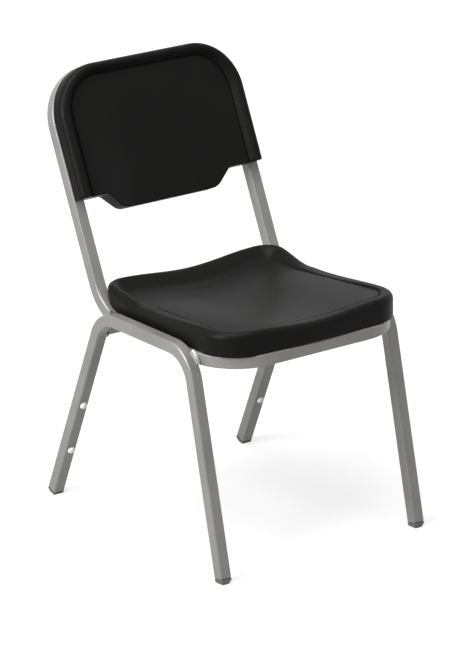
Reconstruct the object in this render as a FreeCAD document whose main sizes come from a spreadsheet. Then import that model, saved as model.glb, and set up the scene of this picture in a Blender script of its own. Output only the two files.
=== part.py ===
import FreeCAD, Part
import math
import os
import Sketcher
from FreeCAD import Placement, Rotation, Vector

# A stacking choir chair, in millimetres. +Z is up, the sitter faces -Y, and the origin is on the floor
# under the middle of the chair.

DIMENSIONS = [
    # the square tube that all of the frame is bent from
    ("tube_size", 22.2, "outside width of the square tube"),
    ("tube_wall", 1.2, "wall of the tube"),
    ("tube_corner", 3.0, "outside corner radius of the tube"),
    # the two leg frames, each one tube bent to an inverted U
    ("frame_width", 450.6, "overall width, over the leg frames"),
    ("rail_front_y", -188.3, "where the front leg's axis meets the rail's"),
    ("rail_front_height", 395.3, "height of that point"),
    ("rail_rear_y", 71.3, "where the rear leg's axis meets the rail's"),
    ("front_leg_angle", 13.75, "lean of the front leg from upright"),
    ("rear_leg_angle", 22.82, "lean of the rear leg from upright"),
    ("seat_pitch", 1.37, "how far the rails drop to the rear, in degrees"),
    ("leg_bend", 62.0, "bend radius of the leg frames, to the axis"),
    ("foot_height", 10.0, "length of glide on show under the tube's end"),
    # the hoop, one tube that is back uprights, side rails and front rail
    ("hoop_drop", 10.8, "how far the hoop's rails lie below the leg frames'"),
    ("back_root_y", 98.5, "where the upright's axis meets the rail's"),
    ("back_angle", 25.1, "lean of the back from upright"),
    ("rail_length", 364.1, "from that point forward to the front rail's axis"),
    ("upright_length", 431.9, "from that point up to the top bar's axis"),
    ("hoop_root_bend", 88.0, "bend radius between rail and upright"),
    ("hoop_front_bend", 84.0, "bend radius at the front corners"),
    ("hoop_top_bend", 90.0, "bend radius at the top corners"),
    ("cross_height", 360.6, "height of the rear cross tube's axis"),
    # the plastic seat
    ("seat_front_width", 402.0, "width of the seat at the front"),
    ("seat_rear_width", 384.0, "width of the seat at the rear"),
    ("seat_depth", 398.0, "depth of the seat"),
    ("seat_overhang", 3.2, "how far the seat stands out past the front rail"),
    ("seat_bow", 11.0, "how far the front edge bows forward"),
    ("seat_front_corner", 68.0, "plan radius of the front corners"),
    ("seat_rear_corner", 44.0, "plan radius of the rear corners"),
    ("seat_bow_radius", 796.0, "plan radius of the front edge on the centre line"),
    ("seat_rim_height", 25.0, "rim above the rails at its lowest, beside the sitter"),
    ("seat_front_rise", 16.0, "how much higher the rim is at the front"),
    ("seat_rear_rise", 22.5, "how much higher the rim is at the rear corners"),
    ("seat_hollow", 11.0, "how much lower the seat is on its centre line"),
    ("seat_edge_round", 12.0, "rounding of the seat's upper edge"),
    ("seat_belly", 16.0, "how deep the seat hangs between the rails"),
    ("seat_border", 23.0, "width of the seat's rim in front, in to the groove"),
    ("seat_border_level", 38.0, "height over the rails at which that width holds"),
    ("seat_rim_slope", 30.0, "slope of the rim's inner side from upright"),
    ("seat_line_end", 20.0, "where the line fades out, forward of the upright's root"),
    ("seat_belly_length", 353.0, "length of the part that hangs between the rails"),
    # the plastic back
    ("back_width", 400.0, "width of the back"),
    ("back_top", 442.5, "top edge of the back, from the upright's root"),
    ("back_side_bottom", 208.0, "lower edge of the back beside the tab"),
    ("back_tab_bottom", 177.6, "lower edge of the back's tab"),
    ("back_tab_width", 206.0, "width of the tab at its lower edge"),
    ("back_tab_flare", 61.0, "how much wider the tab is where it starts"),
    ("back_corner", 93.0, "radius of the back's upper corners"),
    ("back_tab_corner", 25.0, "radius of the tab's lower corners"),
    ("back_shoulder", 10.0, "radius where the tab meets the back's lower edge"),
    ("back_rim_depth", 30.0, "how far the rim stands out in front of the tube"),
    ("back_rim_step", 12.5, "how far the groove lies behind the rim"),
    ("back_dish", 18.5, "how deep the middle is dished below the groove"),
    ("back_edge_round", 13.0, "rounding of the back's front edge"),
    ("back_belly", 24.0, "how far the back reaches in between the uprights"),
    ("back_border", 26.0, "width of the back's rim at the sides, in to the groove"),
    ("back_border_top", 19.1, "width of the back's rim at the top"),
    ("back_rim_slope", 45.0, "slope of the rim's inner side"),
    # both mouldings
    ("groove_width", 3.5, "width of the line round the middle"),
    ("groove_depth", 1.6, "depth of that line"),
    ("groove_ledge", 0.5, "ledge between the line and the rim's inner side"),
    ("shell_wall", 3.2, "wall of the hollow mouldings"),
    ("lower_edge_round", 4.0, "rounding of a moulding's lower corners in plan"),
    ("tube_clearance", 1.6, "gap from a moulding to the tube beside it"),
    ("blow_hole", 6.0, "hole left by the blowing pin"),
    # screws, glides, bumpers and welds
    ("screw_size", 6.0, "diameter of the screws"),
    ("screw_gap", 0.3, "gap round a screw in its hole, on the diameter"),
    ("screw_bite", 14.0, "length of screw in the plastic"),
    ("screw_head", 12.0, "diameter of a screw's head"),
    ("screw_head_height", 4.2, "height of a screw's head"),
    ("screw_socket", 4.0, "width of the hexagon socket, over its flats"),
    ("screw_socket_depth", 2.4, "depth of the socket"),
    ("screw_boss", 22.0, "diameter of the solid plastic round a screw"),
    ("seat_screw_front", 250.0, "front seat screws, forward of the upright's root"),
    ("seat_screw_rear", 110.0, "rear seat screws, forward of the upright's root"),
    ("back_screw_low", 245.0, "lower back screws, from the upright's root"),
    ("back_screw_high", 330.0, "upper back screws, from the upright's root"),
    ("glide_neck", 1.4, "height of the dark gap under the tube's end"),
    ("glide_band", 3.6, "height of the glide's straight band"),
    ("glide_taper", 32.0, "slope of the glide's sides below the band"),
    ("glide_plug", 16.0, "length of the glide inside the tube"),
    ("glide_gap", 0.2, "gap from the glide's plug to the tube, on each side"),
    ("bumper_size", 14.0, "diameter of a stacking bumper"),
    ("bumper_height", 5.0, "how far a bumper stands off the leg"),
    ("bumper_stem", 6.0, "diameter of a bumper's stem"),
    ("bumper_stem_length", 7.0, "length of the stem, from the leg's face inward"),
    ("bumper_round", 4.2, "rounding of the bumper's face"),
    ("bumper_upper", 203.0, "height of the upper bumpers on the leg's axis"),
    ("bumper_lower", 104.0, "height of the lower bumpers on the leg's axis"),
    ("weld_size", 5.5, "width of a weld bead on each of the tubes it joins"),
    ("weld_turn", 20.0, "angle of the leg's bend that a weld runs round"),
    ("weld_front_start", 33.0, "where the front weld starts, round from the bend's top"),
    ("weld_rear_start", 24.0, "where the rear weld starts, round from the bend's top"),
    ("weld_cross_length", 18.0, "length of the weld under the cross tube's end"),
]

document = FreeCAD.newDocument("choir_chair")
sheet = document.addObject("Spreadsheet::Sheet", "sizes")


class Size:
    """A length, an angle or a ratio: its value now and the formula that ties it to the sheet."""

    def __init__(self, value, formula=None):
        self.value = float(value)
        self.formula = formula or f"{float(value)!r}"

    def __add__(self, other):
        other = size(other)
        return Size(self.value + other.value, f"({self.formula} + {other.formula})")

    def __sub__(self, other):
        other = size(other)
        return Size(self.value - other.value, f"({self.formula} - {other.formula})")

    def __mul__(self, other):
        other = size(other)
        return Size(self.value * other.value, f"({self.formula} * {other.formula})")

    def __truediv__(self, other):
        other = size(other)
        return Size(self.value / other.value, f"({self.formula} / {other.formula})")

    def __neg__(self):
        return Size(-self.value, f"(0 - {self.formula})")

    __radd__ = __add__
    __rmul__ = __mul__


def size(number):
    return number if isinstance(number, Size) else Size(number)


def sine(angle):
    return Size(math.sin(math.radians(angle.value)), f"sin({angle.formula})")


def cosine(angle):
    return Size(math.cos(math.radians(angle.value)), f"cos({angle.formula})")


def tangent(angle):
    return Size(math.tan(math.radians(angle.value)), f"tan({angle.formula})")


class Sizes:
    """The sheet's cells by name."""


def fill_sheet():
    for row, (alias, value, meaning) in enumerate(DIMENSIONS, start=1):
        sheet.set(f"A{row}", str(value))
        sheet.setAlias(f"A{row}", alias)
        sheet.set(f"B{row}", meaning)
    document.recompute()
    cells = Sizes()
    for alias, _, _ in DIMENSIONS:
        setattr(cells, alias, Size(sheet.get(alias), f"sizes.{alias}"))
    return cells


d = fill_sheet()

SIDES = {"left": -1, "right": 1}
X_AXIS = Vector(1, 0, 0)
ORIGIN = -1
START = 1
END = 2


def bind(thing, path, wanted):
    thing.setExpression(path, wanted.formula)


def offset(base, turn):
    """A placement: a turn about X, then a shift."""
    return Placement(Vector(*[size(part).value for part in base]), Rotation(X_AXIS, size(turn).value))


def place(thing, path, base, turn=0):
    """Sets a placement of a thing and ties it to the sheet."""
    setattr(thing, path, offset(base, turn))
    for axis, part in zip("xyz", base):
        if isinstance(part, Size):
            bind(thing, f"{path}.Base.{axis}", part)
    if isinstance(turn, Size):
        bind(thing, f"{path}.Rotation.Angle", turn)


def new_body(label):
    body = document.addObject("PartDesign::Body", label)
    body.Label = label
    return body


def new_sketch(body, name, plane, base=(0, 0, 0), turn=0):
    """A sketch on one of the body's own planes, shifted off it and turned about the sketch's own X."""
    sketch = body.newObject("Sketcher::SketchObject", name)
    support = next(item for item in body.Origin.OriginFeatures if item.Role == plane)
    sketch.AttachmentSupport = [(support, "")]
    sketch.MapMode = "FlatFace"
    place(sketch, "AttachmentOffset", base, turn)
    return sketch


def pin_point(sketch, item, point, x, y):
    """Fixes a point of the sketch at x and y, tied to the sheet."""
    for kind, part in (("DistanceX", x), ("DistanceY", y)):
        part = size(part)
        index = sketch.addConstraint(Sketcher.Constraint(kind, ORIGIN, START, item, point, part.value))
        sketch.setExpression(f"Constraints[{index}]", part.formula)


def draw(sketch, corners, closed=True):
    """Draws straight lines through corners (x, y, radius), each corner rounded where it has a radius."""
    count = len(corners)
    spots = [Vector(size(x).value, size(y).value, 0) for x, y, _ in corners]
    leave = [spot for spot in spots]
    reach = [spot for spot in spots]
    arcs = {}
    for i, (_, _, radius) in enumerate(corners):
        if radius is None or (not closed and i in (0, count - 1)):
            continue
        before = (spots[i] - spots[i - 1]).normalize()
        after = (spots[(i + 1) % count] - spots[i]).normalize()
        cross = before.cross(after).z
        run = radius.value * math.tan(before.getAngle(after) / 2)
        reach[i] = spots[i] - before * run
        leave[i] = spots[i] + after * run
        left = 1 if cross > 0 else -1
        centre = reach[i] + Vector(-before.y, before.x, 0) * (radius.value * left)
        first, last = (reach[i], leave[i]) if left > 0 else (leave[i], reach[i])
        angles = [math.atan2(end.y - centre.y, end.x - centre.x) for end in (first, last)]
        arcs[i] = (Part.ArcOfCircle(Part.Circle(centre, Vector(0, 0, 1), radius.value), *angles), left)
    spans = count if closed else count - 1
    lines = []
    for i in range(spans):
        line = Part.LineSegment(leave[i], reach[(i + 1) % count])
        lines.append(sketch.addGeometry(line, False))
    for i, (x, y, radius) in enumerate(corners):
        if i not in arcs:
            if not closed and i == count - 1:
                pin_point(sketch, lines[-1], END, x, y)
                continue
            pin_point(sketch, lines[i], START, x, y)
            if closed or i > 0:
                sketch.addConstraint(Sketcher.Constraint("Coincident", lines[i - 1], END, lines[i], START))
            continue
        arc, left = arcs[i]
        bend = sketch.addGeometry(arc, False)
        mark = sketch.addGeometry(Part.Point(spots[i]), True)
        pin_point(sketch, mark, START, x, y)
        first, last = (START, END) if left > 0 else (END, START)
        sketch.addConstraint(Sketcher.Constraint("Tangent", lines[i - 1], END, bend, first))
        sketch.addConstraint(Sketcher.Constraint("Tangent", bend, last, lines[i], START))
        sketch.addConstraint(Sketcher.Constraint("PointOnObject", mark, START, lines[i - 1]))
        sketch.addConstraint(Sketcher.Constraint("PointOnObject", mark, START, lines[i]))
        index = sketch.addConstraint(Sketcher.Constraint("Radius", bend, radius.value))
        sketch.setExpression(f"Constraints[{index}]", radius.formula)


def draw_circle(sketch, x, y, diameter):
    radius = diameter / 2
    spot = Vector(size(x).value, size(y).value, 0)
    item = sketch.addGeometry(Part.Circle(spot, Vector(0, 0, 1), radius.value), False)
    pin_point(sketch, item, 3, x, y)
    index = sketch.addConstraint(Sketcher.Constraint("Radius", item, radius.value))
    sketch.setExpression(f"Constraints[{index}]", radius.formula)


def square(x, y, width, corner):
    """The corners of a rounded square about a centre."""
    half = width / 2
    return [(x + dx * half, y + dy * half, corner) for dx, dy in ((-1, -1), (1, -1), (1, 1), (-1, 1))]


def bevelled(width, bevel):
    """The corners of a square about the origin with its corners cut off."""
    half = width / 2
    near = half - bevel
    spots = [(near, -half), (half, -near), (half, near), (near, half)]
    spots += [(-near, half), (-half, near), (-half, -near), (-near, -half)]
    return [(x, y, None) for x, y in spots]


def draw_tube(sketch, x, y):
    """The tube's section: a rounded square inside another."""
    x = size(x)
    y = size(y)
    draw(sketch, square(x, y, d.tube_size, d.tube_corner))
    draw(sketch, square(x, y, d.tube_size - d.tube_wall * 2, None))


def sweep(body, name, section, path):
    pipe = body.newObject("PartDesign::AdditivePipe", name)
    pipe.Profile = section
    lines = sum(1 for item in path.GeometryFacadeList if not item.Construction)
    pipe.Spine = (path, [f"Edge{number + 1}" for number in range(lines)])
    return pipe


def pad(body, name, sketch, length, middle=False, back=False):
    feature = body.newObject("PartDesign::Pad", name)
    feature.Profile = sketch
    bind(feature, "Length", size(length))
    feature.Midplane = middle
    feature.Reversed = back
    return feature


def pocket(body, name, sketch, length=None, middle=False, back=False):
    """Cuts a sketch out of a body, to a depth or right through both ways."""
    feature = body.newObject("PartDesign::Pocket", name)
    feature.Profile = sketch
    feature.Midplane = middle
    feature.Reversed = back
    if length is None:
        feature.Type = "ThroughAll"
    else:
        bind(feature, "Length", size(length))
    return feature


def revolve(body, name, sketch, angle=None):
    """Turns a sketch about its own first construction line."""
    feature = body.newObject("PartDesign::Revolution", name)
    feature.Profile = sketch
    feature.ReferenceAxis = (sketch, ["Axis0"])
    if angle is None:
        feature.Angle = 360
    else:
        bind(feature, "Angle", angle)
    return feature


# Places that several pieces share
leg_x = (d.frame_width - d.tube_size) / 2
hoop_x = leg_x - d.tube_size
tube_half = d.tube_size / 2
rail_rear_height = d.rail_front_height - tangent(d.seat_pitch) * (d.rail_rear_y - d.rail_front_y)
root_height = (
    d.rail_front_height - tangent(d.seat_pitch) * (d.back_root_y - d.rail_front_y) - d.hoop_drop
)
rail_turn = -d.seat_pitch
back_turn = size(90) - d.back_angle
root = (0, d.back_root_y, root_height)


def front_leg_y(height):
    return d.rail_front_y - tangent(d.front_leg_angle) * (d.rail_front_height - height)


def rear_leg_y(height):
    return d.rail_rear_y + tangent(d.rear_leg_angle) * (rail_rear_height - height)


def make_leg_frame(side):
    """Front leg, side rail and rear leg: one tube, square cut above its two glides."""
    body = new_body(f"leg_frame_{side}")
    x = leg_x * SIDES[side]
    front_end = cosine(d.front_leg_angle) * d.foot_height
    rear_end = cosine(d.rear_leg_angle) * d.foot_height
    path = new_sketch(body, f"leg_path_{side}", "YZ_Plane", (0, 0, x))
    corners = [
        (front_leg_y(front_end), front_end, None),
        (d.rail_front_y, d.rail_front_height, d.leg_bend),
        (d.rail_rear_y, rail_rear_height, d.leg_bend),
        (rear_leg_y(rear_end), rear_end, None),
    ]
    draw(path, corners, closed=False)
    section_place = (x, front_leg_y(front_end), front_end)
    section = new_sketch(body, f"leg_section_{side}", "XY_Plane", section_place, -d.front_leg_angle)
    draw_tube(section, 0, 0)
    document.recompute()
    sweep(body, f"leg_tube_{side}", section, path)
    document.recompute()
    for name, height in (("upper", d.bumper_upper), ("lower", d.bumper_lower)):
        lean = size(90) + d.rear_leg_angle
        spot = (x, rear_leg_y(height), height)
        hole = new_sketch(body, f"bumper_hole_{name}_{side}", "XY_Plane", spot, lean)
        draw_circle(hole, 0, 0, d.bumper_stem + d.screw_gap)
        document.recompute()
        pocket(body, f"bumper_seat_{name}_{side}", hole, d.tube_size, back=True)
    document.recompute()
    return body


def make_hoop():
    """Back uprights, side rails and front rail, in a frame that lies with the side rails."""
    body = new_body("seat_back_hoop")
    lean = d.back_angle - d.seat_pitch
    bend_turn = size(90) - lean
    bend_run = d.hoop_root_bend * tangent(bend_turn / 2)
    rail_path = new_sketch(body, "rail_path", "XY_Plane")
    corners = [
        (-hoop_x, -bend_run, None),
        (-hoop_x, -d.rail_length, d.hoop_front_bend),
        (hoop_x, -d.rail_length, d.hoop_front_bend),
        (hoop_x, -bend_run, None),
    ]
    draw(rail_path, corners, closed=False)
    rail_section = new_sketch(body, "rail_section", "XZ_Plane", (0, 0, bend_run))
    draw_tube(rail_section, -hoop_x, 0)
    document.recompute()
    sweep(body, "rails", rail_section, rail_path)

    bend_section = new_sketch(body, "bend_section", "XZ_Plane", (0, 0, bend_run))
    draw_tube(bend_section, -hoop_x, 0)
    draw_tube(bend_section, hoop_x, 0)
    height = d.hoop_root_bend.value
    axis = bend_section.addGeometry(Part.LineSegment(Vector(-50, height, 0), Vector(50, height, 0)), True)
    pin_point(bend_section, axis, START, -d.tube_size, d.hoop_root_bend)
    pin_point(bend_section, axis, END, d.tube_size, d.hoop_root_bend)
    document.recompute()
    revolve(body, "root_bends", bend_section, bend_turn)

    back_path = new_sketch(body, "back_path", "XZ_Plane", (0, 0, 0), -lean)
    corners = [
        (-hoop_x, bend_run, None),
        (-hoop_x, d.upright_length, d.hoop_top_bend),
        (hoop_x, d.upright_length, d.hoop_top_bend),
        (hoop_x, bend_run, None),
    ]
    draw(back_path, corners, closed=False)
    base = (0, sine(lean) * bend_run, cosine(lean) * bend_run)
    back_section = new_sketch(body, "back_section", "XY_Plane", base, -lean)
    draw_tube(back_section, -hoop_x, 0)
    document.recompute()
    sweep(body, "uprights", back_section, back_path)
    document.recompute()

    seat_holes = new_sketch(body, "seat_screw_holes", "XY_Plane")
    back_holes = new_sketch(body, "back_screw_holes", "XZ_Plane", (0, 0, 0), -lean)
    for side in SIDES.values():
        for distance in (d.seat_screw_front, d.seat_screw_rear):
            draw_circle(seat_holes, hoop_x * side, -distance, d.screw_size + d.screw_gap)
        for distance in (d.back_screw_low, d.back_screw_high):
            draw_circle(back_holes, hoop_x * side, distance, d.screw_size + d.screw_gap)
    document.recompute()
    pocket(body, "seat_screw_bores", seat_holes, middle=True)
    pocket(body, "back_screw_bores", back_holes, middle=True)
    document.recompute()
    place(body, "Placement", root, rail_turn)
    return body


def make_cross_tube():
    body = new_body("rear_cross_tube")
    section = new_sketch(body, "cross_section", "YZ_Plane")
    draw_tube(section, rear_leg_y(d.cross_height), d.cross_height)
    document.recompute()
    pad(body, "cross_tube", section, (leg_x - tube_half) * 2, middle=True)
    return body


def smooth(share):
    """Runs from 0 to 1 with level ends."""
    share = min(max(share, 0.0), 1.0)
    return share * share * (3 - 2 * share)


def space_above(name, height, x_range, y_range, steps, reach):
    """Everything above a smooth surface whose height at x and y is given by a function."""
    columns, rows = steps
    grid = []
    for i in range(columns + 1):
        x = x_range[0] + (x_range[1] - x_range[0]) * i / columns
        ys = [y_range[0] + (y_range[1] - y_range[0]) * j / rows for j in range(rows + 1)]
        grid.append([Vector(x, y, height(x, y)) for y in ys])
    surface = Part.BSplineSurface()
    surface.interpolate(grid)
    solid = document.addObject("Part::Feature", name)
    solid.Shape = surface.toShape().extrude(Vector(0, 0, reach))
    return solid


def cut(name, base, tool):
    result = document.addObject("Part::Cut", name)
    result.Base = base
    result.Tool = tool
    document.recompute()
    return result


def common(name, base, tool):
    result = document.addObject("Part::Common", name)
    result.Base = base
    result.Tool = tool
    document.recompute()
    return result


def block(name, layers):
    """A body of outlines, each padded from one level to another."""
    body = new_body(name)
    for number, (corners, low, high) in enumerate(layers):
        sketch = new_sketch(body, f"{name}_outline_{number}", "XY_Plane", (0, 0, low))
        draw(sketch, corners)
        document.recompute()
        pad(body, f"{name}_pad_{number}", sketch, high - low)
    document.recompute()
    return body


def edges_on(shape, surface):
    """The edges of a shape that lie on a surface given by its height at x and y."""
    found = []
    for number, edge in enumerate(shape.Edges, start=1):
        ends = [edge.valueAt(edge.FirstParameter), edge.valueAt(edge.LastParameter)]
        middle = edge.valueAt((edge.FirstParameter + edge.LastParameter) / 2)
        if all(abs(point.z - surface(point.x, point.y)) < 0.6 for point in ends + [middle]):
            found.append(number)
    return found


def round_edges(name, base, surface, radius):
    """Rounds the upper edge of a crowned block in three flats that touch the round."""
    flat = radius.value * (2 - math.sqrt(2))
    first = document.addObject("Part::Chamfer", f"{name}_flat")
    first.Base = base
    first.Edges = [(edge, flat, flat) for edge in edges_on(base.Shape, surface)]
    document.recompute()

    def lower(x, y):
        return surface(x, y) - flat

    side = radius.value * math.tan(math.radians(11.25))
    second = document.addObject("Part::Chamfer", name)
    second.Base = first
    numbers = edges_on(first.Shape, surface) + edges_on(first.Shape, lower)
    second.Edges = [(edge, side, side) for edge in numbers]
    document.recompute()
    return second


def make_plug(name, low_corners, low_level, high_corners, high_level):
    """A tapered block between two outlines of the same shape."""
    body = new_body(name)
    low = new_sketch(body, f"{name}_low", "XY_Plane", (0, 0, low_level))
    draw(low, low_corners)
    high = new_sketch(body, f"{name}_high", "XY_Plane", (0, 0, high_level))
    draw(high, high_corners)
    document.recompute()
    loft = body.newObject("PartDesign::AdditiveLoft", f"{name}_loft")
    loft.Profile = low
    loft.Sections = [high]
    loft.Ruled = True
    document.recompute()
    return body


def make_box(name, length, width, height, base):
    box = document.addObject("Part::Box", name)
    for path, part in (("Length", length), ("Width", width), ("Height", height)):
        bind(box, path, size(part))
    place(box, "Placement", base)
    document.recompute()
    return box


def make_rod(name, diameter, length, base, turn=0):
    """A plain cylinder that starts at a point and runs along its own Z."""
    rod = document.addObject("Part::Cylinder", name)
    bind(rod, "Radius", diameter / 2)
    bind(rod, "Height", length)
    place(rod, "Placement", base, turn)
    document.recompute()
    return rod


def cut_all(name, base, tools):
    """Cuts several tools out of a shape, one after another."""
    for number, tool in enumerate(tools):
        last = number == len(tools) - 1
        base = cut(name if last else f"{name}_{number}", base, tool)
    return base


def lowered(name, space, drop):
    """A space above a surface, let down by a little."""
    solid = document.addObject("Part::Feature", name)
    solid.Shape = space.Shape.translated(Vector(0, 0, -drop.value))
    return solid


# The seat: its frame lies on the side rails, with Y running rearward from the upright's root
seat_front = -(d.rail_length + tube_half + d.seat_overhang)
seat_half = d.seat_front_width.value * 0.6
seat_reach = d.tube_size * 3


def seat_outline(inset, corner, tail):
    """The seat's plan, drawn in from its wall by an inset."""
    front = seat_front + inset
    rear = seat_front + d.seat_depth - inset
    wide = d.seat_front_width / 2 - inset
    narrow = d.seat_rear_width / 2 - inset
    return [
        (size(0), front, d.seat_bow_radius),
        (wide, front + d.seat_bow, corner),
        (narrow, rear, tail),
        (-narrow, rear, tail),
        (-wide, front + d.seat_bow, corner),
    ]


def seat_belly_outline(inset):
    """The part of the seat that hangs between the rails."""
    half = hoop_x - tube_half - d.tube_clearance - inset
    front = -d.rail_length + tube_half + d.tube_clearance + inset
    rear = front + d.seat_belly_length - inset * 2
    corner = d.hoop_front_bend - tube_half - d.tube_clearance - inset
    tail = d.seat_rear_corner / 2 - inset
    return [
        (half, front, corner),
        (half, rear, tail),
        (-half, rear, tail),
        (-half, front, corner),
    ]


def seat_cross_fall(x):
    """How much lower the seat is near its centre line."""
    return d.seat_hollow.value * (1 - smooth(abs(x) / (d.seat_front_width.value / 3)))


def seat_rim(x, y):
    """Height of the rim over the rails: high at the rear corners, low beside the sitter, high in front."""
    low_front = -118.0
    low_rear = -104.0
    rise = d.seat_front_rise.value * smooth((low_front - y) / 260.0)
    rise += d.seat_rear_rise.value * smooth((y - low_rear) / 105.0)
    return tube_half.value + d.seat_rim_height.value + rise - seat_cross_fall(x)


def seat_dish(x, y):
    """Height of the sitting surface inside the rim."""
    rise = 0.062 * max(0.0, -86.0 - y)
    return tube_half.value + d.seat_rim_height.value + 1.2 + rise - seat_cross_fall(x)


def make_tube_space(name, gap):
    """Room for the hoop's root bends and uprights, wider than the tube by a gap on every side."""
    body = new_body(name)
    lean = d.back_angle - d.seat_pitch
    bend_turn = size(90) - lean
    bend_run = d.hoop_root_bend * tangent(bend_turn / 2)
    width = d.tube_size + gap * 2
    section = new_sketch(body, f"{name}_section", "XZ_Plane", (0, 0, bend_run))
    for x in (-hoop_x, hoop_x):
        draw(section, square(x, size(0), width, None))
    height = d.hoop_root_bend.value
    axis = section.addGeometry(Part.LineSegment(Vector(-50, height, 0), Vector(50, height, 0)), True)
    pin_point(section, axis, START, -d.tube_size, d.hoop_root_bend)
    pin_point(section, axis, END, d.tube_size, d.hoop_root_bend)
    document.recompute()
    revolve(body, f"{name}_turn", section, bend_turn)
    document.recompute()
    return body


def make_seat_form(name, inset, gap):
    """The seat without its holes, every face drawn in by an inset."""
    level = tube_half + inset
    outline = seat_outline(inset, d.seat_front_corner - inset, d.seat_rear_corner - inset)
    layers = [
        (seat_belly_outline(inset), tube_half - d.seat_belly + inset, level + d.tube_size / 2),
        (outline, level, seat_reach),
    ]
    blank = block(f"{name}_blank", layers)
    front = seat_front.value - 10.0
    rear = front + d.seat_depth.value + 30.0
    dish_rear = rear - 20.0

    def rim(x, y):
        return seat_rim(x, y) - inset.value

    def dish(x, y):
        return seat_dish(x, y) - inset.value

    across = (-seat_half, seat_half)
    over_rim = space_above(f"{name}_over_rim", rim, across, (front, rear), (12, 18), seat_reach.value)
    over_dish = space_above(f"{name}_over_dish", dish, across, (front, dish_rear), (12, 6), seat_reach.value)
    crowned = cut(f"{name}_crowned", blank, over_rim)
    rounded = round_edges(f"{name}_rounded", crowned, rim, d.seat_edge_round - inset)
    plug = seat_plug(f"{name}_plug", -inset)
    hollow = common(f"{name}_dish", plug, over_dish)
    room = make_tube_space(f"{name}_tube_space", gap)
    return cut_all(f"{name}_form", rounded, [hollow, room]), over_dish


def seat_plug(name, inset):
    """The block that presses the dish: its sides are the inner side of the rim."""
    slope = tangent(d.seat_rim_slope)
    low = inset + d.seat_border + slope * d.seat_border_level
    high = inset + d.seat_border + slope * (d.seat_border_level - (seat_reach - tube_half))
    low_corners = seat_outline(low, d.seat_front_corner / 3, d.lower_edge_round)
    high_corners = seat_outline(high, d.seat_front_corner - high, d.seat_rear_corner - high)
    return make_plug(name, low_corners, tube_half, high_corners, seat_reach)


def make_seat():
    """Blow-moulded: hollow, with solid posts where the screws bite and one hole from the blowing pin."""
    outer, over_dish = make_seat_form("seat", size(0), d.tube_clearance)
    cavity, _ = make_seat_form("seat_cavity", d.shell_wall, d.tube_clearance + d.shell_wall)
    posts = []
    bores = []
    for side, sign in SIDES.items():
        for end, distance in (("front", d.seat_screw_front), ("rear", d.seat_screw_rear)):
            spot = (hoop_x * sign, -distance, size(0))
            posts.append(make_rod(f"seat_post_{end}_{side}", d.screw_boss, seat_reach, spot))
            depth = tube_half + d.screw_bite + d.screw_gap
            bores.append(make_rod(f"seat_bore_{end}_{side}", d.screw_size + d.screw_gap, depth, spot))
    inside = cut_all("seat_inside", cavity, posts)
    middle = seat_front + d.seat_depth / 2
    below = tube_half - d.seat_belly * 2
    blow = make_rod("seat_blow_hole", d.blow_hole, d.seat_belly + d.shell_wall * 2, (0, middle, below))
    ring = cut(
        "seat_ring",
        seat_plug("seat_ring_outer", d.groove_ledge),
        seat_plug("seat_ring_inner", d.groove_ledge + d.groove_width),
    )
    floor = lowered("seat_line_floor", over_dish, d.groove_depth)
    width = d.frame_width
    end = make_box("seat_line_end", width, width, seat_reach * 2, (-(width / 2), -d.seat_line_end, 0))
    line = cut("seat_line", common("seat_channel", ring, floor), end)
    seat = cut_all("seat_shell", outer, [inside, blow, line] + bores)
    place(seat, "Placement", root, rail_turn)
    seat.Label = "seat_shell"
    return seat


# The back: its frame lies on the uprights, with Y running up the back and Z facing the sitter
back_crest = tube_half + d.back_rim_depth
back_groove = back_crest - d.back_rim_step
back_rear = tube_half - d.back_belly


def back_outline(inset):
    """The pad that covers the uprights and the top bar."""
    half = d.back_width / 2 - inset
    corner = d.back_corner - inset
    low = d.lower_edge_round - inset / 2
    return [
        (half, d.back_side_bottom + inset, low),
        (half, d.back_top - inset, corner),
        (-half, d.back_top - inset, corner),
        (-half, d.back_side_bottom + inset, low),
    ]


def back_inner_outline(inset):
    """The part that reaches in between the uprights and runs down into the tab."""
    half = hoop_x - tube_half - d.tube_clearance - inset
    top = d.upright_length - tube_half - d.tube_clearance - inset
    corner = d.hoop_top_bend - tube_half - d.tube_clearance - inset
    tab = d.back_tab_width / 2 - inset
    flare = tab + d.back_tab_flare / 2
    side = d.back_side_bottom + inset
    foot = d.back_tab_bottom + inset
    low = d.lower_edge_round - inset / 2
    return [
        (tab, foot, d.back_tab_corner - inset),
        (flare, side, d.back_shoulder),
        (half, side, low),
        (half, top, corner),
        (-half, top, corner),
        (-half, side, low),
        (-flare, side, d.back_shoulder),
        (-tab, foot, d.back_tab_corner - inset),
    ]


def back_plug_outline(inset):
    """The dish's outline: an arch that runs out at the bottom."""
    half = d.back_width / 2 - d.back_border - inset
    top = d.back_top - d.back_border_top - inset
    corner = d.back_corner - d.back_border - inset
    foot = d.back_tab_bottom - d.back_border * 2
    low = d.lower_edge_round
    return [(half, foot, low), (half, top, corner), (-half, top, corner), (-half, foot, low)]


def back_plug(name, inset):
    """The block that presses the dish: its sides are the inner side of the rim."""
    slope = tangent(d.back_rim_slope)
    low_level = size(0)
    high_level = back_crest + d.back_rim_step
    low = inset + slope * (back_groove - low_level)
    high = inset + slope * (back_groove - high_level)
    return make_plug(name, back_plug_outline(low), low_level, back_plug_outline(high), high_level)


def back_dish(x, y):
    """How far forward the dished middle lies: level with the groove at its edge, deepest at the tab."""
    half = (d.back_width / 2 - d.back_border).value
    top = (d.back_top - d.back_border_top).value
    fall = smooth((half - abs(x)) / 70.0) * smooth((top - y) / 190.0)
    return back_groove.value - d.back_dish.value * fall


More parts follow.
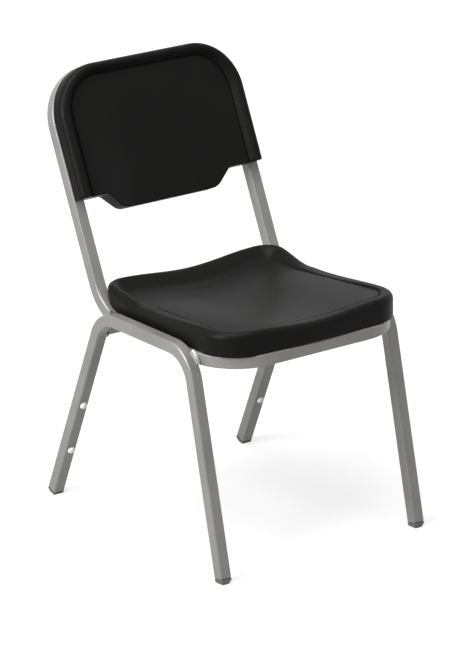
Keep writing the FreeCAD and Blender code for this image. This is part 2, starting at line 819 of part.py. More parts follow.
def make_back_form(name, inset):
    """The back without its holes, every face drawn in by an inset."""
    layers = [
        (back_inner_outline(inset), back_rear + inset, tube_half + inset * 2),
        (back_outline(inset), tube_half + inset, back_crest - inset),
    ]
    blank = block(f"{name}_blank", layers)
    rounded = document.addObject("Part::Fillet", f"{name}_rounded")
    rounded.Base = blank
    crest = (back_crest - inset).value
    radius = (d.back_edge_round - inset).value
    sides = []
    for number in edges_on(blank.Shape, lambda x, y: crest):
        box = blank.Shape.Edges[number - 1].BoundBox
        if box.YMin > (d.back_side_bottom + inset + d.lower_edge_round).value - 1.0:
            sides.append(number)
    rounded.Edges = [(number, radius, radius) for number in sides]
    document.recompute()

    def dish(x, y):
        return back_dish(x, y) - inset.value

    half = d.back_width.value * 0.6
    span = ((-half, half), (d.back_tab_bottom.value - 30.0, d.back_top.value + 30.0))
    over_dish = space_above(f"{name}_over_dish", dish, *span, (12, 8), seat_reach.value)
    hollow = common(f"{name}_dish", back_plug(f"{name}_plug", -inset), over_dish)
    return cut(f"{name}_form", rounded, hollow), over_dish


def make_back():
    """Blow-moulded like the seat, screwed to the uprights from behind."""
    outer, over_dish = make_back_form("back", size(0))
    cavity, _ = make_back_form("back_cavity", d.shell_wall)
    posts = []
    bores = []
    for side, sign in SIDES.items():
        for end, distance in (("low", d.back_screw_low), ("high", d.back_screw_high)):
            spot = (hoop_x * sign, distance, size(0))
            posts.append(make_rod(f"back_post_{end}_{side}", d.screw_boss, seat_reach, spot))
            depth = tube_half + d.screw_bite + d.screw_gap
            bores.append(make_rod(f"back_bore_{end}_{side}", d.screw_size + d.screw_gap, depth, spot))
    inside = cut_all("back_inside", cavity, posts)
    middle = (d.back_top + d.back_side_bottom) / 2
    behind = back_rear - d.shell_wall
    blow = make_rod("back_blow_hole", d.blow_hole, d.shell_wall * 3, (0, middle, behind))
    ring = cut(
        "back_ring",
        back_plug("back_ring_outer", d.groove_ledge),
        back_plug("back_ring_inner", d.groove_ledge + d.groove_width),
    )
    line = common("back_line", ring, lowered("back_line_floor", over_dish, d.groove_depth))
    back = cut_all("back_shell", outer, [inside, blow, line] + bores)
    place(back, "Placement", root, back_turn)
    back.Label = "back_shell"
    return back


def make_glide(end, side):
    """A plug in the leg's end, a dark gap, a straight band and a tapered foot cut level with the floor."""
    name = f"glide_{end}_{side}"
    lean = -d.front_leg_angle if end == "front" else d.rear_leg_angle
    height = cosine(lean) * d.foot_height
    spot_y = front_leg_y(height) if end == "front" else rear_leg_y(height)
    body = new_body(f"{name}_blank")
    narrow = d.tube_size - (d.tube_wall + d.glide_gap) * 2
    bevel = d.tube_corner * (2 - math.sqrt(2))
    inner = (d.tube_corner - d.tube_wall) / 2
    band = -(d.glide_neck + d.glide_band)
    plug = new_sketch(body, f"{name}_plug", "XY_Plane", (0, 0, -d.glide_neck))
    draw(plug, bevelled(narrow, inner))
    document.recompute()
    pad(body, f"{name}_plug_pad", plug, d.glide_plug + d.glide_neck)
    rim = new_sketch(body, f"{name}_band", "XY_Plane", (0, 0, -d.glide_neck))
    draw(rim, bevelled(d.tube_size, bevel))
    document.recompute()
    pad(body, f"{name}_band_pad", rim, d.glide_band, back=True)
    document.recompute()
    foot = body.newObject("PartDesign::AdditiveLoft", f"{name}_foot")
    depth = d.foot_height
    top = new_sketch(body, f"{name}_foot_top", "XY_Plane", (0, 0, band))
    draw(top, bevelled(d.tube_size, bevel))
    low = new_sketch(body, f"{name}_foot_low", "XY_Plane", (0, 0, band - depth))
    small = d.tube_size - tangent(d.glide_taper) * depth * 2
    draw(low, bevelled(small, bevel / 2))
    document.recompute()
    foot.Profile = top
    foot.Sections = [low]
    foot.Ruled = True
    document.recompute()
    place(body, "Placement", (leg_x * SIDES[side], spot_y, height), lean)
    span = d.tube_size * 3
    base = (leg_x * SIDES[side] - span / 2, spot_y - span / 2, -span)
    floor = make_box(f"{name}_floor", span, span, span, base)
    glide = cut(name, body, floor)
    glide.Label = name
    return glide


def turned_piece(name, corners, spot, turn):
    """A round piece, drawn as half its section: X is the radius, Y the height along its axis."""
    body = new_body(name)
    sketch = new_sketch(body, f"{name}_section", "XZ_Plane")
    draw(sketch, corners)
    document.recompute()
    feature = body.newObject("PartDesign::Revolution", f"{name}_turn")
    feature.Profile = sketch
    feature.ReferenceAxis = (sketch, ["V_Axis"])
    feature.Angle = 360
    document.recompute()
    place(body, "Placement", spot, turn)
    return body


def make_bumper(name, side, level):
    stem = d.bumper_stem / 2
    edge = d.bumper_size / 2
    face = tube_half + d.bumper_height
    corners = [
        (size(0), tube_half - d.bumper_stem_length, None),
        (stem, tube_half - d.bumper_stem_length, None),
        (stem, tube_half, None),
        (edge, tube_half, None),
        (edge, face - d.bumper_round, None),
        (edge - d.bumper_round * 0.3, face - d.bumper_round * 0.3, None),
        (edge - d.bumper_round, face, None),
        (size(0), face, None),
    ]
    spot = (leg_x * SIDES[side], rear_leg_y(level), level)
    return turned_piece(f"stack_bumper_{name}_{side}", corners, spot, size(90) + d.rear_leg_angle)


def make_screw(name, spot, turn):
    """A screw whose head bears on the tube's far side, with a hexagon socket in the head."""
    shank = d.screw_size / 2
    edge = d.screw_head / 2
    seat = -tube_half
    head = seat - d.screw_head_height
    corners = [
        (size(0), head, None),
        (edge - d.screw_head_height / 3, head, None),
        (edge, head + d.screw_head_height / 3, None),
        (edge, seat, None),
        (shank, seat, None),
        (shank, tube_half + d.screw_bite, None),
        (size(0), tube_half + d.screw_bite, None),
    ]
    body = turned_piece(name, corners, spot, turn)
    socket = new_sketch(body, f"{name}_socket", "XY_Plane", (0, 0, head))
    reach = d.screw_socket / 2 / cosine(size(30))
    hexagon = [(cosine(size(60 * i)) * reach, sine(size(60 * i)) * reach, None) for i in range(6)]
    draw(socket, hexagon)
    document.recompute()
    pocket(body, f"{name}_socket_pocket", socket, d.screw_socket_depth, back=True)
    document.recompute()
    return body


def on_rails(distance, turn, sign):
    """A point on a hoop tube's axis, a distance from the upright's root."""
    along = cosine(turn) * distance
    rise = sine(turn) * distance
    return (hoop_x * sign, d.back_root_y + along, root_height + rise)


def bend_centre(end):
    """The centre of a leg frame's bend, in the plane of the frame."""
    if end == "front":
        turn = size(90) - d.front_leg_angle + d.seat_pitch
        run = d.leg_bend * tangent(turn / 2)
        corner = (d.rail_front_y, d.rail_front_height)
    else:
        turn = size(90) - d.rear_leg_angle - d.seat_pitch
        run = -(d.leg_bend * tangent(turn / 2))
        corner = (d.rail_rear_y, rail_rear_height)
    across = corner[0] + cosine(d.seat_pitch) * run - sine(d.seat_pitch) * d.leg_bend
    height = corner[1] - sine(d.seat_pitch) * run - cosine(d.seat_pitch) * d.leg_bend
    return across, height


def make_hoop_weld(end, side):
    """A bead in the corner between a leg frame's bend and the outer face of the hoop."""
    name = f"hoop_weld_{end}_{side}"
    sign = SIDES[side]
    inner = leg_x - tube_half
    outer = d.leg_bend + tube_half
    tuck = d.tube_corner * (2 - math.sqrt(2))
    corners = [
        (inner * sign, outer - tuck, None),
        ((inner + tuck) * sign, outer, None),
        ((inner + d.weld_size) * sign, outer, None),
        ((inner + d.weld_size * 0.75) * sign, outer + d.weld_size * 0.75, None),
        (inner * sign, outer + d.weld_size, None),
    ]
    body = new_body(name)
    sketch = new_sketch(body, f"{name}_section", "XZ_Plane")
    draw(sketch, corners)
    document.recompute()
    feature = body.newObject("PartDesign::Revolution", f"{name}_turn")
    feature.Profile = sketch
    feature.ReferenceAxis = (sketch, ["H_Axis"])
    bind(feature, "Angle", d.weld_turn)
    document.recompute()
    across, height = bend_centre(end)
    start = d.weld_front_start if end == "front" else -(d.weld_rear_start + d.weld_turn)
    place(body, "Placement", (0, across, height), start)
    return body


def make_cross_weld(side):
    """A bead under the cross tube's end, in the corner with the leg frame's inner face."""
    name = f"cross_weld_{side}"
    sign = SIDES[side]
    end = leg_x - tube_half
    bottom = d.cross_height - tube_half
    bead = d.weld_size
    corners = [
        (end * sign, bottom, None),
        (end * sign, bottom - bead, None),
        ((end - bead * 0.75) * sign, bottom - bead * 0.75, None),
        ((end - bead) * sign, bottom, None),
    ]
    body = new_body(name)
    sketch = new_sketch(body, f"{name}_section", "XZ_Plane", (0, 0, -rear_leg_y(bottom)))
    draw(sketch, corners)
    document.recompute()
    pad(body, f"{name}_bead", sketch, d.weld_cross_length, middle=True)
    document.recompute()
    return body


pieces = []
for side, sign in SIDES.items():
    pieces.append(make_leg_frame(side))
    for end in ("front", "rear"):
        pieces.append(make_glide(end, side))
        pieces.append(make_hoop_weld(end, side))
    pieces.append(make_cross_weld(side))
    for name, level in (("upper", d.bumper_upper), ("lower", d.bumper_lower)):
        pieces.append(make_bumper(name, side, level))
    for end, distance in (("front", d.seat_screw_front), ("rear", d.seat_screw_rear)):
        spot = on_rails(-distance, rail_turn, sign)
        pieces.append(make_screw(f"seat_screw_{end}_{side}", spot, rail_turn))
    for end, distance in (("low", d.back_screw_low), ("high", d.back_screw_high)):
        spot = on_rails(distance, back_turn, sign)
        pieces.append(make_screw(f"back_screw_{end}_{side}", spot, back_turn))
pieces.append(make_hoop())
pieces.append(make_cross_tube())
pieces.append(make_seat())
pieces.append(make_back())
document.recompute()

for item in document.Objects:
    if "Invalid" in item.State or "Error" in item.State:
        raise ValueError(f"{item.Label} did not rebuild: {item.State}")
for piece in pieces:
    if piece.Shape.isNull() or not piece.Shape.isValid():
        raise ValueError(f"{piece.Label} has no sound shape")

os.makedirs("parts", exist_ok=True)
for piece in pieces:
    piece.Shape.exportStep(f"parts/{piece.Label}.step")
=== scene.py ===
import math

import bmesh
import bpy
from mathutils import Matrix, Vector


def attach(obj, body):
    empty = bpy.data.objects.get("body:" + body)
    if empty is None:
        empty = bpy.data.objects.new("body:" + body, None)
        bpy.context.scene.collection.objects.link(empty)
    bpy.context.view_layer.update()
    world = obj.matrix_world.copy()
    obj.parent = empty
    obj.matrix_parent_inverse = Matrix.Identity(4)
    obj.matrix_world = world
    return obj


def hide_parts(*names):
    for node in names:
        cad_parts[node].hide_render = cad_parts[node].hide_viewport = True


# The frame, feet, bumpers, screws and weld beads are shown as the CAD model has them. This script
# makes the seat and the back anew, gives every piece its material, and adds floor, light and camera.
# Lengths are in millimetres until a mesh is made, and the scene is in metres.
MM = 0.001

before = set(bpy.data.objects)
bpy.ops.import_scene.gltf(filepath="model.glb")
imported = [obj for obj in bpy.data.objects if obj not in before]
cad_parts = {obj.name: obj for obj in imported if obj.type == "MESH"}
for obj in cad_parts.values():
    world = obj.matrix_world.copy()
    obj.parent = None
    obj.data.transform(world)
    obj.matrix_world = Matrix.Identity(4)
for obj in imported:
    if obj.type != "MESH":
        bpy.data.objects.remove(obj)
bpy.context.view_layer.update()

# The tube frame's own sizes.
TUBE = 22.2
TUBE_HALF = TUBE / 2
TUBE_GAP = 1.6
HOOP_X = 192.0
HOOP_ROOT_BEND = 88.0
RAIL_LENGTH = 364.1

# Both mouldings are drawn from the point where seat rails and uprights would meet.
ROOT = Vector((0.0, 98.5, 377.65))
SEAT_TURN = -1.37
BACK_LEAN = 25.1
BACK_TURN = 90 - BACK_LEAN

SHARP_ANGLE = 38.0


def smooth(share):
    """An S curve from 0 to 1."""
    share = min(max(share, 0.0), 1.0)
    return share * share * (3 - 2 * share)


def round_off(reach, radius):
    """How far a rounded edge lies below the flat, at a reach inwards from the wall."""
    return radius - math.sqrt(max(0.0, radius**2 - (radius - reach) ** 2))


def local_frame(turn):
    """From a moulding's own frame to the scene."""
    scale = Matrix.Scale(MM, 4)
    return scale @ Matrix.Translation(ROOT) @ Matrix.Rotation(math.radians(turn), 4, "X")


def corner_points(corners, counts):
    """A closed outline through corners (x, y, radius); counts gives the points on each arc and side."""
    total = len(corners)
    spots = [Vector((x, y)) for x, y, _ in corners]
    arcs = []
    for i, (_, _, radius) in enumerate(corners):
        before = (spots[i] - spots[i - 1]).normalized()
        after = (spots[(i + 1) % total] - spots[i]).normalized()
        angle = before.angle_signed(after)
        run = radius * math.tan(abs(angle) / 2)
        start = spots[i] - before * run
        end = spots[i] + after * run
        hand = -1 if angle > 0 else 1
        centre = start + Vector((-before.y, before.x)) * radius * hand
        arcs.append((centre, start, end))
    points = []
    for i, (centre, start, end) in enumerate(arcs):
        arc_count, side_count = counts[i]
        first = start - centre
        sweep = first.angle_signed(end - centre)
        for k in range(arc_count):
            points.append(centre + Matrix.Rotation(-sweep * k / arc_count, 2) @ first)
        following = arcs[(i + 1) % total][1]
        for k in range(side_count):
            points.append(end.lerp(following, k / side_count))
    return points


def normals_of(points):
    """Inward unit normals of a closed outline that runs anticlockwise."""
    result = []
    for i in range(len(points)):
        along = (points[(i + 1) % len(points)] - points[i - 1]).normalized()
        result.append(Vector((-along.y, along.x)))
    return result


def new_object(name, mesh, matrix):
    """Puts a bmesh into the scene as an object, and frees it."""
    mesh.transform(matrix)
    data = bpy.data.meshes.new(name)
    mesh.to_mesh(data)
    mesh.free()
    thing = bpy.data.objects.new(name, data)
    bpy.context.scene.collection.objects.link(thing)
    return thing


def loops_mesh(name, rows, matrix, cap_first, cap_last, painted_groove_faces):
    """A closed mesh of rings of equal count; the last argument, called with (row, point), picks the
    groove faces that get the second material, a darker black that is painted shade in the groove.
    """
    mesh = bmesh.new()
    made = [[mesh.verts.new(point) for point in row] for row in rows]
    for number, (low, high) in enumerate(zip(made, made[1:])):
        count = len(low)
        for i in range(count):
            j = (i + 1) % count
            face = mesh.faces.new((low[i], low[j], high[j], high[i]))
            face.material_index = 1 if painted_groove_faces(number, low[i].co) else 0
    for row, middle in ((made[0], cap_first), (made[-1], cap_last)):
        tip = mesh.verts.new(middle)
        for i in range(len(row)):
            mesh.faces.new((row[i], row[(i + 1) % len(row)], tip))
    bmesh.ops.recalc_face_normals(mesh, faces=mesh.faces)
    return new_object(name, mesh, matrix)


def take_away(thing, cutter):
    """Cuts a shape out of a piece and removes that shape."""
    modifier = thing.modifiers.new("cut", "BOOLEAN")
    modifier.operation = "DIFFERENCE"
    modifier.solver = "EXACT"
    modifier.object = cutter
    graph = bpy.context.evaluated_depsgraph_get()
    made = bpy.data.meshes.new_from_object(thing.evaluated_get(graph))
    mesh = bmesh.new()
    mesh.from_mesh(made)
    clean(mesh, 0.01 * MM, 0.01 * MM)
    mesh.to_mesh(made)
    mesh.free()
    thing.modifiers.clear()
    thing.data = made
    bpy.data.objects.remove(cutter)


def clean(mesh, join, thin):
    """Joins points that fall together and drops faces without area."""
    bmesh.ops.remove_doubles(mesh, verts=mesh.verts, dist=join)
    bmesh.ops.dissolve_degenerate(mesh, edges=mesh.edges, dist=thin)


def smooth_by_angle(thing, angle):
    """Soft shading everywhere but over sharp edges."""
    for face in thing.data.polygons:
        face.use_smooth = True
    thing.data.set_sharp_from_angle(angle=math.radians(angle))


# The seat: x to the side, y to the rear, z up, all from ROOT. It narrows to the rear and bows forward.
SEAT_FRONT = -(RAIL_LENGTH + TUBE_HALF + 3.2)
SEAT_DEPTH = 398.0
SEAT_HALF = 201.0
SEAT_REAR_HALF = 192.0
SEAT_BOW = 11.0
SEAT_BOW_RADIUS = 796.0
SEAT_FRONT_CORNER = 68.0
SEAT_REAR_CORNER = 44.0
SEAT_EDGE = 12.0
SEAT_BASE = TUBE_HALF
SEAT_COUNTS = [(16, 14), (22, 40), (20, 36), (20, 40), (22, 14)]

# The belly is the part of the seat that hangs between the rails.
BELLY_DEEP = 16.0
BELLY_LENGTH = 353.0
BELLY_BOW_RADIUS = 3000.0
BELLY_FRONT_CORNER = 71.3
BELLY_REAR_CORNER = 22.0
BELLY_EDGE = 4.0

# Heights over the tube's top: the rim outside, the dish inside, and a bank from one to the other.
RIM_HEIGHT = 28.0
RIM_FRONT_RISE = 16.0
RIM_REAR_RISE = 22.5
RIM_MIDDLE_RISE = 2.0
DISH_HEIGHT = 25.6
DISH_FRONT_SLOPE = 0.062
DISH_REAR_RISE = 3.0
CROSS_HALF = 155.0
CROSS_FALL = 8.0
CROSS_REAR_FALL = 3.4
BANK_SLOPE = math.tan(math.radians(30.0))
BANK_FOOT = 23.0
BANK_LEVEL = 38.0
SEAT_LINE_WIDTH = 3.5
SEAT_LINE_DEPTH = 2.0
SEAT_LINE_END = -98.0


def seat_outline():
    front = SEAT_FRONT
    rear = SEAT_FRONT + SEAT_DEPTH
    corners = [
        (0.0, front, SEAT_BOW_RADIUS),
        (SEAT_HALF, front + SEAT_BOW, SEAT_FRONT_CORNER),
        (SEAT_REAR_HALF, rear, SEAT_REAR_CORNER),
        (-SEAT_REAR_HALF, rear, SEAT_REAR_CORNER),
        (-SEAT_HALF, front + SEAT_BOW, SEAT_FRONT_CORNER),
    ]
    return corner_points(corners, SEAT_COUNTS)


def belly_outline(inset):
    half = HOOP_X - TUBE_HALF - TUBE_GAP - inset
    front = -RAIL_LENGTH + TUBE_HALF + TUBE_GAP + inset
    rear = front + BELLY_LENGTH - inset * 2
    bow = 0.01
    corners = [
        (0.0, front, BELLY_BOW_RADIUS),
        (half, front + bow, BELLY_FRONT_CORNER - inset),
        (half, rear, BELLY_REAR_CORNER - inset),
        (-half, rear, BELLY_REAR_CORNER - inset),
        (-half, front + bow, BELLY_FRONT_CORNER - inset),
    ]
    return corner_points(corners, SEAT_COUNTS)


def seat_cross_fall(x, y):
    """The seat sinks towards its middle line, more so at the rear."""
    depth = CROSS_FALL + CROSS_REAR_FALL * smooth((y + 330.0) / 260.0)
    return depth * (1 + math.cos(math.pi * min(abs(x), CROSS_HALF) / CROSS_HALF)) / 2


def seat_rim(x, y):
    front = RIM_FRONT_RISE * smooth((-118.0 - y) / 260.0)
    rear = RIM_REAR_RISE * smooth((y + 104.0) / 105.0)
    middle = RIM_MIDDLE_RISE * smooth((-60.0 - y) / 60.0) * smooth((y + 345.0) / 80.0)
    return TUBE_HALF + RIM_HEIGHT + front + rear + middle - seat_cross_fall(x, y)


def seat_dish(x, y):
    front = DISH_FRONT_SLOPE * max(0.0, -86.0 - y)
    rear = DISH_REAR_RISE * smooth((y + 70.0) / 60.0)
    return TUBE_HALF + DISH_HEIGHT + front + rear - seat_cross_fall(x, y)


def bank_foot(dish):
    """How far in from the wall the bank meets the dish."""
    return BANK_FOOT + BANK_SLOPE * (BANK_LEVEL - (dish - TUBE_HALF))


def seat_surface(x, y, inset):
    """Height of the seat's upper side at a point that lies an inset from the wall."""
    crown = seat_rim(x, y)
    dish = seat_dish(x, y)
    foot = bank_foot(dish)
    rear = smooth((y + 110.0) / 80.0)
    climb = (foot - inset) / BANK_SLOPE
    soft = 0.4 + 15.0 * rear
    bank = dish + (climb + math.sqrt(climb * climb + soft * soft)) / 2
    gap = bank - crown
    soft = 1.2 + 14.0 * rear
    height = crown + (gap - math.sqrt(gap * gap + soft * soft)) / 2
    share = (inset - foot - 0.5) / SEAT_LINE_WIDTH
    if 0.0 < share < 1.0:
        fade = smooth((-(y + 72.0)) / 60.0)
        height -= SEAT_LINE_DEPTH * fade * math.sin(math.pi * share) ** 0.4
    if inset < SEAT_EDGE:
        height -= round_off(inset, SEAT_EDGE)
    return height


def make_seat():
    wall = seat_outline()
    inward = normals_of(wall)
    belly = belly_outline(0.0)
    belly_in = belly_outline(BELLY_EDGE)
    centre = Vector((0.0, SEAT_FRONT + SEAT_DEPTH / 2))
    floor = SEAT_BASE - BELLY_DEEP
    wall_low = SEAT_BASE + 1.8

    # From the middle of the belly outwards, up its sides, under the rim and up the wall.
    rows = []
    for share in (0.25, 0.6):
        rows.append([(*centre.lerp(p, share), floor) for p in belly_in])
    rows.append([(*p, floor) for p in belly_in])
    rows.append([(*p.lerp(q, 0.7), floor + 1.3) for p, q in zip(belly_in, belly)])
    rows.append([(*q, floor + BELLY_EDGE) for q in belly])
    rows.append([(*q, SEAT_BASE) for q in belly])
    rows.append([(*(p + n * 1.6), SEAT_BASE) for p, n in zip(wall, inward)])
    rows.append([(*(p + n * 0.4), SEAT_BASE + 0.5) for p, n in zip(wall, inward)])
    rows.append([(*p, wall_low) for p in wall])
    for share in (0.3, 0.65, 1.0):
        row = []
        for p in wall:
            top = seat_rim(p.x, p.y) - SEAT_EDGE
            row.append((p.x, p.y, wall_low + (top - wall_low) * share))
        rows.append(row)

    # Over the rounded edge and the rim, then down the bank and through the line to the dish.
    for inset in (0.25, 0.9, 2.0, 3.6, 5.6, 8.0, 10.4, 12.0, 14.5, 17.0, 19.0):
        row = []
        for p, n in zip(wall, inward):
            q = p + n * inset
            row.append((q.x, q.y, seat_surface(q.x, q.y, inset)))
        rows.append(row)
    line_first = len(rows) + 3
    line_last = len(rows) + 7
    for step in (-2.5, -1.2, 0.0, 0.5, 0.9, 1.5, 2.25, 3.0, 3.6, 4.0, 4.6, 6.5):
        row = []
        for p, n in zip(wall, inward):
            q = p + n * 27.0
            inset = max(bank_foot(seat_dish(q.x, q.y)) + step, 19.5)
            q = p + n * inset
            row.append((q.x, q.y, seat_surface(q.x, q.y, inset)))
        rows.append(row)
    last = [Vector(point[:2]) for point in rows[-1]]
    for share in (0.05, 0.12, 0.2, 0.3, 0.4, 0.5, 0.6, 0.7, 0.8, 0.9, 0.97):
        row = []
        for q in last:
            point = q.lerp(centre, share)
            inset = 32.0 + (point - q).length
            row.append((point.x, point.y, seat_surface(point.x, point.y, inset)))
        rows.append(row)
    tip = (centre.x, centre.y, seat_surface(centre.x, centre.y, 150.0))

    # Faces of the groove line, ahead of its end, get the second material: a darker black that is painted
    # shade in the groove.
    def painted_groove_faces(number, point):
        return line_first <= number <= line_last and point.y < SEAT_LINE_END

    return loops_mesh("seat_skin", rows, local_frame(SEAT_TURN), (*centre, floor), tip, painted_groove_faces)


def tube_room():
    """Room for the hoop's root bends beside the seat."""
    mesh = bmesh.new()
    turn = math.pi / 2 - math.radians(BACK_LEAN + SEAT_TURN)
    run = HOOP_ROOT_BEND * math.tan(turn / 2)
    half = TUBE_HALF + TUBE_GAP
    steps = 28
    for side in (-1, 1):
        rings = []
        for k in range(steps + 1):
            angle = turn * k / steps
            ring = []
            for dx, radius in ((-half, half), (half, half), (half, -half), (-half, -half)):
                reach = HOOP_ROOT_BEND + radius
                y = -run + reach * math.sin(angle)
                z = HOOP_ROOT_BEND - reach * math.cos(angle)
                ring.append(mesh.verts.new((side * HOOP_X + dx, y, z)))
            rings.append(ring)
        for low, high in zip(rings, rings[1:]):
            for i in range(4):
                j = (i + 1) % 4
                mesh.faces.new((low[i], low[j], high[j], high[i]))
        mesh.faces.new(rings[0])
        mesh.faces.new(rings[-1])
    bmesh.ops.recalc_face_normals(mesh, faces=mesh.faces)
    return new_object("tube_room", mesh, local_frame(SEAT_TURN))


# The back: x to the side, y up along the uprights, z forward, all from ROOT.
BACK_HALF = 200.0
BACK_TOP = 442.25
BACK_LOW = 208.0
BACK_CORNER = 93.0
BACK_SIDE = 141.5
BACK_CREST = TUBE_HALF + 30.0
BACK_PANEL = BACK_CREST - 12.5
BACK_DISH = 18.5
BACK_REAR = TUBE_HALF - 24.0
BACK_EDGE = 13.0
BACK_LOW_EDGE = 3.0
BACK_BORDER = 26.0
TOP_SHARE = 19.1 / 26.0
INNER_INSET = 32.0
SPINE_TOP = 300.0

# Lines beside the border: where each starts, its width and how far it stands up.
BACK_LINES = ((26.3, 2.8, -3.0), (29.1, 1.6, 0.7), (30.7, 1.2, -0.8))

# The tab in the middle of the lower edge, from its flat edge out to the shoulder on either side.
TAB_LOW = 177.6
TAB_FLAT = 92.67
TAB_FILLET = 25.0
TAB_SIDE_START = 110.3
TAB_SIDE_END = 130.6
TAB_SIDE_FOOT = 103.0
TAB_SIDE_SLOPE = 30.4 / 30.5
SHOULDER = 137.6
SHOULDER_RADIUS = 10.0


def back_bottom(x):
    """The back's lower edge: level beside the tab, sloping to the tab's own lower edge."""
    x = abs(x)
    if x < TAB_FLAT:
        return TAB_LOW
    if x < TAB_SIDE_START:
        return TAB_LOW + TAB_FILLET - math.sqrt(TAB_FILLET**2 - (x - TAB_FLAT) ** 2)
    if x < TAB_SIDE_END:
        return TAB_LOW + (x - TAB_SIDE_FOOT) * TAB_SIDE_SLOPE
    if x < SHOULDER:
        return BACK_LOW - round_off(SHOULDER_RADIUS - SHOULDER + x, SHOULDER_RADIUS)
    return BACK_LOW


def back_arch(inset, spread):
    """An open outline: up the right side from the bottom, over the top and down the left side."""
    half = BACK_HALF - inset
    across = BACK_CORNER - inset
    up = BACK_CORNER - inset * TOP_SHARE
    centre_x = BACK_HALF - BACK_CORNER
    centre_y = BACK_TOP - BACK_CORNER
    right = [(half, BACK_LOW + (centre_y - BACK_LOW) * share) for share in spread]
    for k in range(1, 25):
        angle = math.pi / 2 * k / 25
        right.append((centre_x + across * math.cos(angle), centre_y + up * math.sin(angle)))
    top = [(centre_x * (1 - k / 15), centre_y + up) for k in range(31)]
    left = [(-x, y) for x, y in reversed(right)]
    return right + top + left


def back_front(x, y, inset):
    """How far forward the sitter's side of the back lies."""
    fall = smooth((174.0 - abs(x)) / 110.0) * smooth((423.4 - y) / 230.0)
    dish = BACK_PANEL - BACK_DISH * fall
    climb = BACK_BORDER - inset
    bank = dish + (climb + math.sqrt(climb * climb + 0.5)) / 2
    gap = bank - BACK_CREST
    height = BACK_CREST + (gap - math.sqrt(gap * gap + 22.0)) / 2
    for start, width, rise in BACK_LINES:
        share = (inset - start) / width
        if 0.0 < share < 1.0:
            height += rise * math.sin(math.pi * share) ** 0.5
    if inset < BACK_EDGE:
        height -= round_off(inset, BACK_EDGE)
    edge = y - back_bottom(x)
    if edge < BACK_LOW_EDGE:
        height -= round_off(edge, BACK_LOW_EDGE)
    return height


def make_back():
    spread = [share / BACK_SIDE for share in (0.0, 0.3, 1.0, 2.0, 3.2, 5.0, 8.0, 13.0, 20.0, 30.0)]
    spread += [(30.0 + (BACK_SIDE - 30.0) * k / 16) / BACK_SIDE for k in range(1, 17)]
    step = BACK_HALF - (HOOP_X - TUBE_HALF - TUBE_GAP)
    insets = [0.0, 0.2, 0.7, 1.6, 3.0, 4.8, 7.0, 9.6, 11.6, 12.6, 13.4, 14.4, 16.5, step, step + 0.02]
    insets += [22.5, 24.0, 25.0, 25.8, 26.3, 26.6, 27.1, 27.7, 28.3, 28.8, 29.1, 29.5, 29.9, 30.3, 30.7]
    insets += [30.9, 31.3, 31.7, 31.9, INNER_INSET]
    line_start = BACK_LINES[0][0] - 0.1
    line_end = BACK_LINES[1][0] - 0.1
    mesh = bmesh.new()
    front = []
    rear = []

    def add_row(points, inset):
        # The border rests on the tubes, and the middle reaches back between them.
        behind = BACK_REAR if inset > step else TUBE_HALF
        front.append([mesh.verts.new((x, y, back_front(x, y, inset))) for x, y in points])
        rear.append([mesh.verts.new((x, y, behind)) for x, y in points])

    for inset in insets:
        add_row(back_arch(inset, spread), inset)

    # Inside the border the rows draw in to a spine on the middle line, and follow the tab below.
    inner = back_arch(INNER_INSET, spread)
    edge_x = inner[0][0]
    sides = len(spread)
    side_top = BACK_TOP - BACK_CORNER
    marks = [164, 158, 150, 142, 138, 136, 134, 132, 130.6, 126, 120, 115, 110.3, 107, 103, 99, 96, 92.7]
    marks += [85, 77, 68, 58, 48, 38, 28, 18, 9, 0]
    for mark in marks:
        share = 1 - mark / edge_x
        top = side_top * (1 - share) + SPINE_TOP * share
        low = back_bottom(mark)
        points = []
        for k, (x, y) in enumerate(inner):
            if k < sides or k >= len(inner) - sides:
                up = (y - BACK_LOW) / (side_top - BACK_LOW)
                points.append((math.copysign(mark, x), low + (top - low) * up))
            else:
                points.append((x * (1 - share), y + (SPINE_TOP - y) * share))
        add_row(points, INNER_INSET + (edge_x - mark))

    for sheet, flip in ((front, False), (rear, True)):
        for number, (low, high) in enumerate(zip(sheet, sheet[1:])):
            inset = insets[number] if number < len(insets) else INNER_INSET
            # The first groove line on the front gets the second material: a darker black that is painted
            # shade in the groove.
            painted_groove = not flip and line_start < inset < line_end
            for i in range(len(low) - 1):
                ring = (low[i], low[i + 1], high[i + 1], high[i])
                face = mesh.faces.new(tuple(reversed(ring)) if flip else ring)
                face.material_index = 1 if painted_groove else 0
    for i in range(len(front[0]) - 1):
        mesh.faces.new((front[0][i + 1], front[0][i], rear[0][i], rear[0][i + 1]))
    for k in range(len(front) - 1):
        for end in (0, -1):
            mesh.faces.new((front[k][end], front[k + 1][end], rear[k + 1][end], rear[k][end]))
    clean(mesh, 0.004, 0.002)
    bmesh.ops.recalc_face_normals(mesh, faces=mesh.faces)
    return new_object("back_skin", mesh, local_frame(BACK_TURN))


def new_material(name):
    material = bpy.data.materials.new(name)
    material.use_nodes = True
    nodes = material.node_tree.nodes
    return material, nodes, material.node_tree.links, nodes["Principled BSDF"]


def grain(nodes, links, shader, where, scale, strength, distance):
    """A fine bump made from noise in the object's own coordinates."""
    noise = nodes.new("ShaderNodeTexNoise")
    noise.inputs["Scale"].default_value = scale
    noise.inputs["Detail"].default_value = 3.0
    bump = nodes.new("ShaderNodeBump")
    bump.inputs["Strength"].default_value = strength
    bump.inputs["Distance"].default_value = distance
    links.new(where.outputs["Object"], noise.inputs["Vector"])
    links.new(noise.outputs["Fac"], bump.inputs["Height"])
    links.new(bump.outputs["Normal"], shader.inputs["Normal"])


